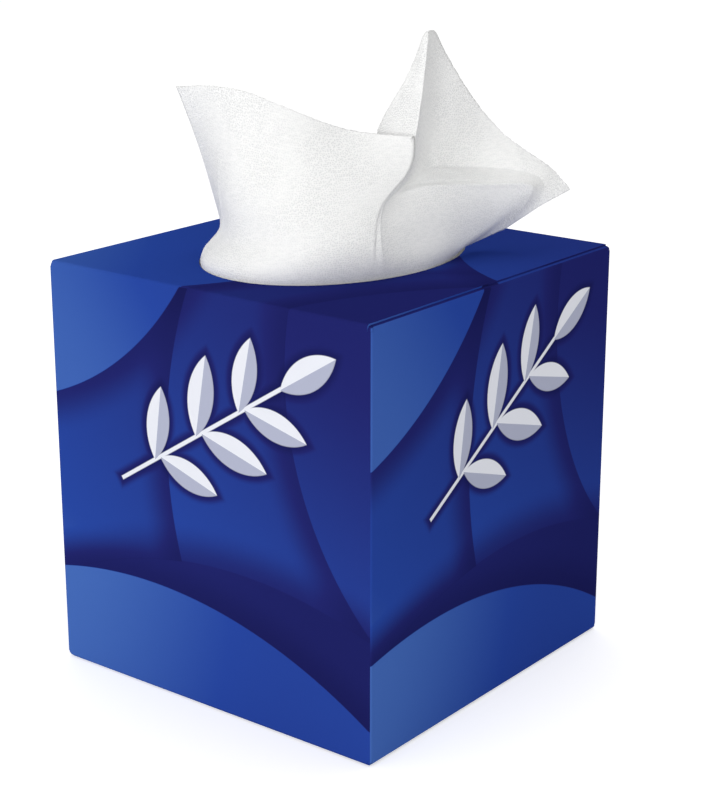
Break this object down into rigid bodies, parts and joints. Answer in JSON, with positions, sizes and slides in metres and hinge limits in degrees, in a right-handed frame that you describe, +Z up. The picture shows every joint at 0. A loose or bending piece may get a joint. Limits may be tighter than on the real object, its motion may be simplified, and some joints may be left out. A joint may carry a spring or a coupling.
{
  "type": "tissue box",
  "caption": "Cube carton of facial tissues with an oval opening in the top and one sheet standing in folds through it.",
  "frame": {"origin": "middle of the underside of the carton", "axes": "+Z up through the opening, -Y out of the front panel that the top panel is hinged on, +X out of the right panel"},
  "size_m": [0.11, 0.11, 0.178],
  "materials": {
    "printed_board": "satin print",
    "tissue": "soft matte"
  },
  "bodies": {
    "root": {"carton": "printed_board", "tissue_stack": "tissue", "pop_up_tissue": "tissue"}
  },
  "joints": []
}
